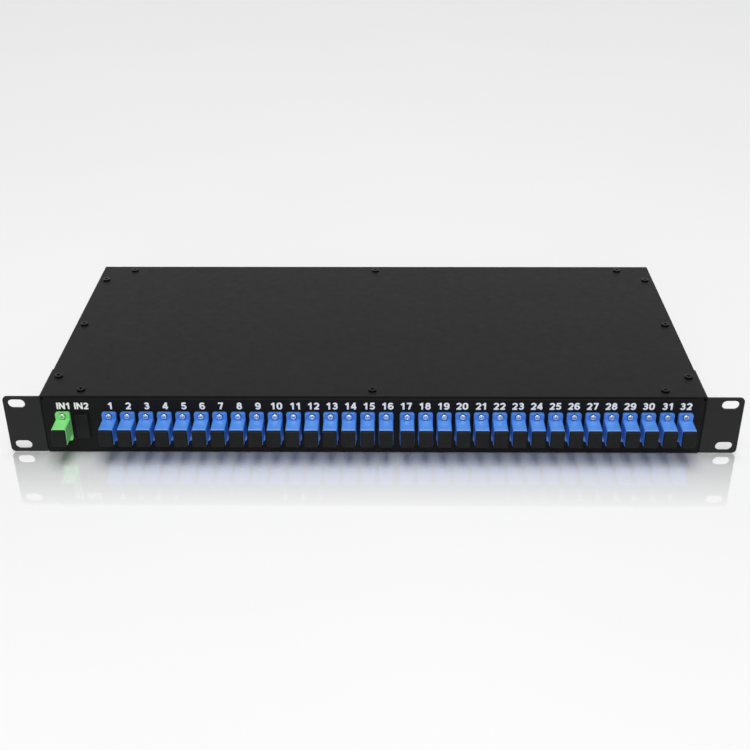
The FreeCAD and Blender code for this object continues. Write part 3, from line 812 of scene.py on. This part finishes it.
def arc_stroke(x, y, radius, start, sweep):
    """Round stroke about a centre, from one angle onwards, in degrees; a whole turn makes a ring."""
    bpy.ops.object.select_all(action="DESELECT")
    bpy.ops.mesh.primitive_plane_add(size=1, rotation=(math.radians(90), 0, 0))
    piece = begin("stroke")
    bpy.ops.mesh.select_all(action="SELECT")
    resize(x=stroke, z=film)
    bpy.ops.transform.translate(value=(radius, 0, film / 2))
    if sweep == 360:
        bpy.ops.mesh.delete(type="ONLY_FACE")
        bpy.ops.mesh.select_all(action="SELECT")
    bpy.ops.mesh.spin(
        steps=round(sweep / arc_step), angle=math.radians(-sweep), center=(0, 0, 0), axis=(0, 0, 1))
    bpy.ops.mesh.select_all(action="SELECT")
    bpy.ops.mesh.remove_doubles(threshold=film / 10)
    close(piece)
    piece.data.transform(Matrix.Translation((x, y, 0)) @ facing("Z", start))
    return piece


# Strokes of each letter that the labels use, but the nine, which is a six turned upside down
stroke_makers = {"bar": bar_stroke, "arc": arc_stroke}
letter_strokes = {
    "0": [
        ("arc", 0.33, 0.67, 0.23, 0, 180), ("arc", 0.33, 0.33, 0.23, 180, 180),
        ("bar", 0.10, 0.33, 0.10, 0.67), ("bar", 0.56, 0.33, 0.56, 0.67)],
    "1": [("bar", 0.36, 0.0, 0.36, 1.0), ("bar", 0.33, 0.88, 0.07, 0.68)],
    "2": [
        ("arc", 0.33, 0.67, 0.23, -38, 205), ("bar", 0.52, 0.54, 0.17, 0.09),
        ("bar", 0.04, 0.10, 0.62, 0.10)],
    "3": [
        ("arc", 0.32, 0.71, 0.19, -90, 250), ("arc", 0.32, 0.32, 0.22, -160, 250),
        ("bar", 0.21, 0.53, 0.34, 0.53)],
    "4": [
        ("bar", 0.46, 0.0, 0.46, 1.0), ("bar", 0.42, 0.93, 0.09, 0.33),
        ("bar", 0.01, 0.28, 0.66, 0.28)],
    "5": [
        ("bar", 0.12, 0.90, 0.60, 0.90), ("bar", 0.20, 0.92, 0.15, 0.46),
        ("arc", 0.32, 0.33, 0.23, -158, 290)],
    "6": [
        ("arc", 0.33, 0.33, 0.23, 0, 360), ("bar", 0.10, 0.33, 0.10, 0.66),
        ("arc", 0.34, 0.66, 0.24, 32, 148)],
    "7": [("bar", 0.03, 0.90, 0.62, 0.90), ("bar", 0.52, 0.88, 0.25, 0.02)],
    "8": [("arc", 0.33, 0.72, 0.18, 0, 360), ("arc", 0.33, 0.32, 0.22, 0, 360)],
    "I": [("bar", 0.10, 0.0, 0.10, 1.0)],
    "N": [
        ("bar", 0.10, 0.0, 0.10, 1.0), ("bar", 0.70, 0.0, 0.70, 1.0),
        ("bar", 0.13, 0.93, 0.67, 0.07)],
}


def letter_form(letter):
    """Each stroke lies a hair over the one before it."""
    is_nine = letter == "9"
    strokes = [stroke_makers[kind](*sizes) for kind, *sizes in letter_strokes["6" if is_nine else letter]]
    for index, piece in enumerate(strokes):
        if is_nine:
            piece.data.transform(Matrix.Translation((digit_width, 1.0, 0)) @ facing("Z", 180))
        piece.data.transform(Matrix.Diagonal((1, 1, 1 + index * stroke_lift, 1)))
    return joined(strokes, "letter_" + letter)


def label(name, text, height, stretch, place, letters):
    """Prints a text on the panel; the place is the middle of its base line."""
    parts = []
    pen = 0.0
    for letter in text:
        parts.append(copy_of(letters[letter], "part", Matrix.Translation((pen, 0, 0))))
        end = pen + letter_width.get(letter, digit_width)
        pen = end + (gap_after_one if letter == "1" else letter_gap)
    piece = joined(parts, name)
    size = Matrix.Diagonal((height * stretch, height, height, 1)) @ Matrix.Translation((-end / 2, 0, 0))
    piece.data.transform(Matrix.Translation(place) @ facing("X", 90) @ size)
    piece.data.materials.clear()
    piece.data.materials.append(ink)
    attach(piece, "chassis")


def place_labels():
    """Evenly spaced numbers over the outputs, and the two inputs' names."""
    letters = {letter: letter_form(letter) for letter in "0123456789IN"}
    outputs = [tag for tag in ports if tag != "in1"]
    first = ports[outputs[0]] + Vector((label_inset_left, 0, label_base))
    last = ports[outputs[-1]] + Vector((-label_inset_right, 0, label_base + label_row_rise))
    for index, tag in enumerate(outputs):
        place = first.lerp(last, index / (len(outputs) - 1))
        label("label_" + tag, str(int(tag)), number_height, number_stretch, place, letters)
    rise = Vector((name_shift, 0, label_base))
    label("label_in1", "IN1", name_height, name_stretch, ports["in1"] + rise, letters)
    label("label_in2", "IN2", name_height, name_stretch, port_place("blank_plug") + rise, letters)
    for form in letters.values():
        bpy.data.objects.remove(form)


place_adapters()
place_caps()
place_adapter_screws()
place_cover_screws()
place_ear_screws()
lid()
ear("left_ear", -1, "left_ear_bracket")
ear("right_ear", 1, "right_ear_bracket")
place_labels()


# Stage

floor_size = 12.0
polish_reach = 60 * mm
polish_most = 0.42
surround_light = 0.17


def polish(material, dull_y, bright_y, most):
    """Mirror share that grows along Y."""
    nodes = material.node_tree.nodes
    links = material.node_tree.links
    place = nodes.new("ShaderNodeTexCoord")
    split = nodes.new("ShaderNodeSeparateXYZ")
    span = nodes.new("ShaderNodeMapRange")
    span.inputs["From Min"].default_value = dull_y
    span.inputs["From Max"].default_value = bright_y
    span.inputs["To Max"].default_value = most
    links.new(place.outputs["Object"], split.inputs["Vector"])
    links.new(split.outputs["Y"], span.inputs["Value"])
    links.new(span.outputs["Result"], nodes["Principled BSDF"].inputs["Metallic"])


def floor_finish():
    """Pale sheet, polished where the object stands and dull before it."""
    material = new_finish("floor", specular=0.3)
    tint(material, grain(material, scale=3, detail=2), colour(250, 250, 250), colour(252, 252, 252))
    gloss(material, grain(material, scale=12, detail=2), smooth=0.03, rough=0.05)
    polish(material, panel_face - polish_reach, panel_face, polish_most)
    return material


def lay_floor():
    bpy.ops.object.select_all(action="DESELECT")
    bpy.ops.mesh.primitive_plane_add(size=floor_size)
    floor = bpy.context.object
    floor.name = "floor"
    floor.data.materials.append(floor_finish())


def soft_light(name, place, aim, width, depth, power):
    """Rectangular lamp that looks at a point."""
    lamp = bpy.data.lights.new(name, "AREA")
    lamp.shape = "RECTANGLE"
    lamp.size = width
    lamp.size_y = depth
    lamp.energy = power
    light = bpy.data.objects.new(name, lamp)
    light.location = place
    light.rotation_euler = (Vector(aim) - Vector(place)).to_track_quat("-Z", "Y").to_euler()
    bpy.context.scene.collection.objects.link(light)


def pale_world():
    """Even studio surround; the camera and reflections see it as white."""
    world = bpy.data.worlds.new("studio")
    world.use_nodes = True
    nodes = world.node_tree.nodes
    links = world.node_tree.links
    surround = nodes["Background"]
    surround.inputs["Color"].default_value = (1.0, 1.0, 1.0, 1.0)
    paths = nodes.new("ShaderNodeLightPath")
    seen = nodes.new("ShaderNodeMath")
    seen.operation = "MAXIMUM"
    also_seen = nodes.new("ShaderNodeMath")
    also_seen.operation = "MAXIMUM"
    strength = nodes.new("ShaderNodeMapRange")
    strength.inputs["To Min"].default_value = surround_light
    strength.inputs["To Max"].default_value = 1.0
    links.new(paths.outputs["Is Camera Ray"], seen.inputs[0])
    links.new(paths.outputs["Is Glossy Ray"], seen.inputs[1])
    links.new(seen.outputs["Value"], also_seen.inputs[0])
    links.new(paths.outputs["Is Transmission Ray"], also_seen.inputs[1])
    links.new(also_seen.outputs["Value"], strength.inputs["Value"])
    links.new(strength.outputs["Result"], surround.inputs["Strength"])
    bpy.context.scene.world = world


lay_floor()
pale_world()
soft_light("overhead", place=(0.0, -0.4, 2.4), aim=(0.0, 0.0, 0.0), width=1.2, depth=2.2, power=46)
soft_light("front", place=(0.0, -1.5, 0.8), aim=(0.0, -0.1, 0.02), width=0.7, depth=0.8, power=6)


# Camera

camera_place = Vector((10.4, -734.8, 427.5)) * mm
camera_pitch = math.radians(30.07)
camera_yaw = math.radians(-0.77)
camera_roll = math.radians(0.28)
camera_lens = 54.94
camera_near = 0.01


def set_camera():
    """Camera at the photograph's viewing angle."""
    ahead = Vector((
        math.sin(camera_yaw) * math.cos(camera_pitch),
        math.cos(camera_yaw) * math.cos(camera_pitch),
        -math.sin(camera_pitch)))
    level = Vector((math.cos(camera_yaw), -math.sin(camera_yaw), 0))
    down = ahead.cross(level)
    right = level * math.cos(camera_roll) + down * math.sin(camera_roll)
    up = level * math.sin(camera_roll) - down * math.cos(camera_roll)
    turn = Matrix((right, up, -ahead)).transposed()
    data = bpy.data.cameras.new("camera")
    data.lens = camera_lens
    data.clip_start = camera_near
    camera = bpy.data.objects.new("camera", data)
    camera.matrix_world = Matrix.Translation(camera_place) @ turn.to_4x4()
    bpy.context.scene.collection.objects.link(camera)
    bpy.context.scene.camera = camera


set_camera()
bpy.context.scene.view_settings.view_transform = "Standard"
